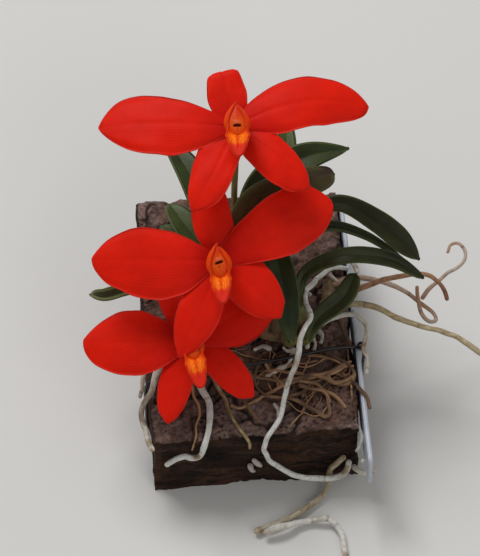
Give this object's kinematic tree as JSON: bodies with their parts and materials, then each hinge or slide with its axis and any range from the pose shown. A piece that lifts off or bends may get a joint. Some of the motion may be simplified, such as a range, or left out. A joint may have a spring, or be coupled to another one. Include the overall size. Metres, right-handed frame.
{
  "type": "mounted sophronitis orchid",
  "caption": "Small orchid with scarlet flowers and leathery folded leaves, its roots tied with wire to a block of tree bark, with a bare plant label.",
  "frame": {"origin": "centre of the bark block's flat back, which lies on the surface under it", "axes": "+Z out of the bark's face toward the flowers, +Y up the bark's length, +X to the right across the bark"},
  "size_m": [0.1121, 0.1096, 0.0963],
  "materials": {
    "bark": "rough mauve-grey plates with dark fissures and brown layered sides",
    "wire": "black plastic-coated tie wire",
    "label": "plain white plastic, unmarked",
    "stem": "waxy yellow-green with papery brown sheaths",
    "leaf": "leathery dark olive green with a paler rim",
    "petal": "satin scarlet with fine darker veins",
    "lip": "satin orange with yellow patches, red veins and a red tip",
    "column": "orange with a pinkish anther cap",
    "root": "matte chalky white",
    "red_root": "matte reddish brown",
    "dry_root": "dry matte brown"
  },
  "bodies": {
    "root": {"tie_wire": "wire", "bark_block": "bark", "plant_label": "label", "rhizome_with_pseudobulbs": "stem", "top_flower_stalk_and_ovary": "stem", "top_flower_column": "column", "top_flower_lip": "lip", "top_flower_petal_left": "petal", "top_flower_petal_right": "petal", "top_flower_dorsal_sepal": "petal", "top_flower_lateral_sepal_left": "petal", "top_flower_lateral_sepal_right": "petal", "middle_flower_stalk_and_ovary": "stem", "middle_flower_column": "column", "middle_flower_lip": "lip", "middle_flower_petal_left": "petal", "middle_flower_petal_right": "petal", "middle_flower_dorsal_sepal": "petal", "middle_flower_lateral_sepal_left": "petal", "middle_flower_lateral_sepal_right": "petal", "bottom_flower_stalk_and_ovary": "stem", "bottom_flower_column": "column", "bottom_flower_lip": "lip", "bottom_flower_petal_left": "petal", "bottom_flower_petal_right": "petal", "bottom_flower_dorsal_sepal": "petal", "bottom_flower_lateral_sepal_left": "petal", "bottom_flower_lateral_sepal_right": "petal", "leaf_1": "leaf", "leaf_2": "leaf", "leaf_3": "leaf", "leaf_4": "leaf", "leaf_5": "leaf", "leaf_6": "leaf", "leaf_7": "leaf", "leaf_8": "leaf", "leaf_9": "leaf", "leaf_10": "leaf", "leaf_11": "leaf", "leaf_12": "leaf", "root_1": "root", "root_2": "root", "root_3": "root", "root_4": "root", "root_5": "root", "root_6": "root", "root_7": "red_root", "root_8": "red_root", "root_9": "red_root", "root_10": "root", "root_11": "root", "root_12": "root", "root_13": "root", "root_14": "root", "root_15": "dry_root", "dry_root_mat": "dry_root"}
  },
  "joints": []
}
